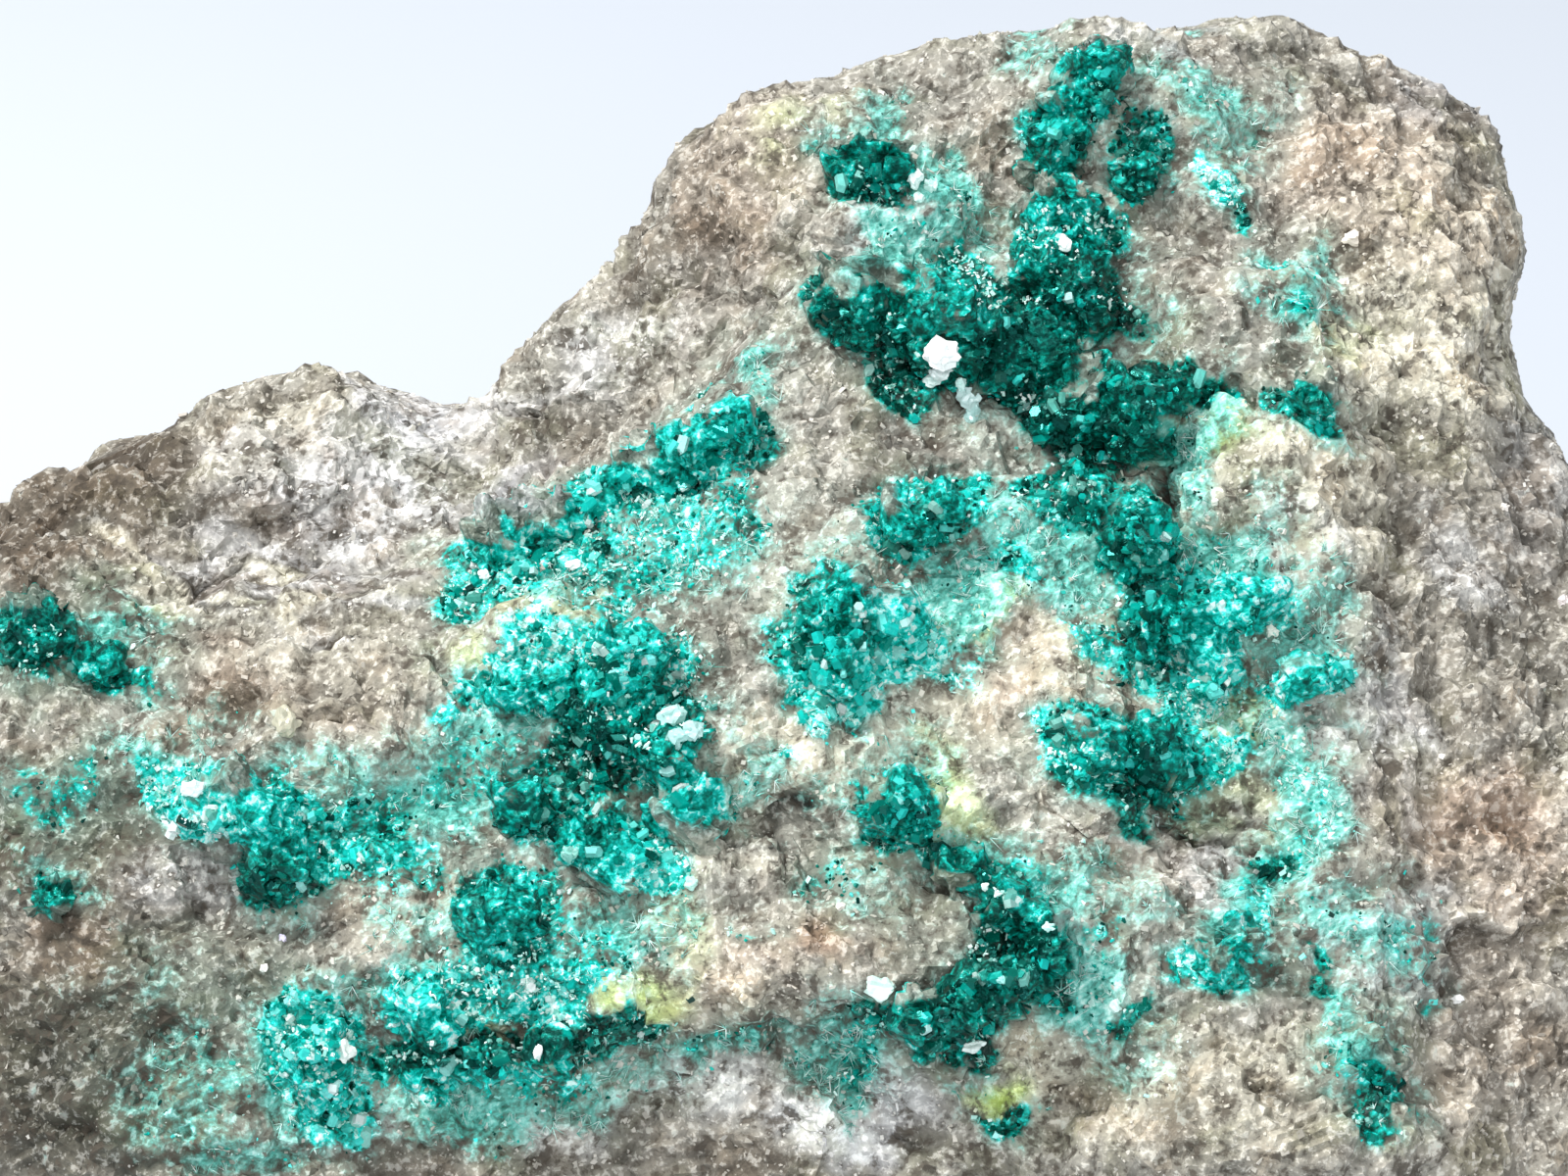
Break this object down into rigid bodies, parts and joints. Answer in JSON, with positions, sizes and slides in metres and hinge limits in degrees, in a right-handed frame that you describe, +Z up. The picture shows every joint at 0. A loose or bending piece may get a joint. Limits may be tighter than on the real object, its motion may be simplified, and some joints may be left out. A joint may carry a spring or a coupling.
{
  "type": "dioptase specimen",
  "caption": "Broken lump of granular grey-brown rock whose sloping front carries patches of small, faceted emerald-green dioptase crystals; stands on a flat broken base.",
  "frame": {"origin": "middle of the specimen's bounding box, on the flat base it stands on", "axes": "+Z up, +X along the specimen's length, -Y towards the viewer of the crystal-bearing front"},
  "size_m": [0.0758, 0.049, 0.0402],
  "materials": {
    "rock": "rough granular broken rock with pale grains",
    "dioptase": "deep emerald, glassy crystal faces",
    "pale_dioptase": "pale turquoise, glassy crystal faces"
  },
  "bodies": {
    "root": {"matrix": "rock", "dioptase_blade": "dioptase", "dioptase_centre": "dioptase", "dioptase_centre_left": "dioptase", "dioptase_centre_right": "dioptase", "dioptase_centre_right_2": "dioptase", "dioptase_crest": "dioptase", "dioptase_ear": "dioptase", "dioptase_foot": "pale_dioptase", "dioptase_green_lobe": "dioptase", "dioptase_heart": "dioptase", "dioptase_hook": "dioptase", "dioptase_left_edge": "dioptase", "dioptase_left_edge_2": "dioptase", "dioptase_left_eye": "dioptase", "dioptase_left_grain": "dioptase", "dioptase_left_patch": "dioptase", "dioptase_low_band": "dioptase", "dioptase_low_bright": "pale_dioptase", "dioptase_lower_left": "dioptase", "dioptase_lower_middle": "dioptase", "dioptase_lower_middle_2": "dioptase", "dioptase_lower_right": "dioptase", "dioptase_middle_left": "dioptase", "dioptase_right_bead": "dioptase", "dioptase_slope": "pale_dioptase", "dioptase_spark": "pale_dioptase"}
  },
  "joints": []
}
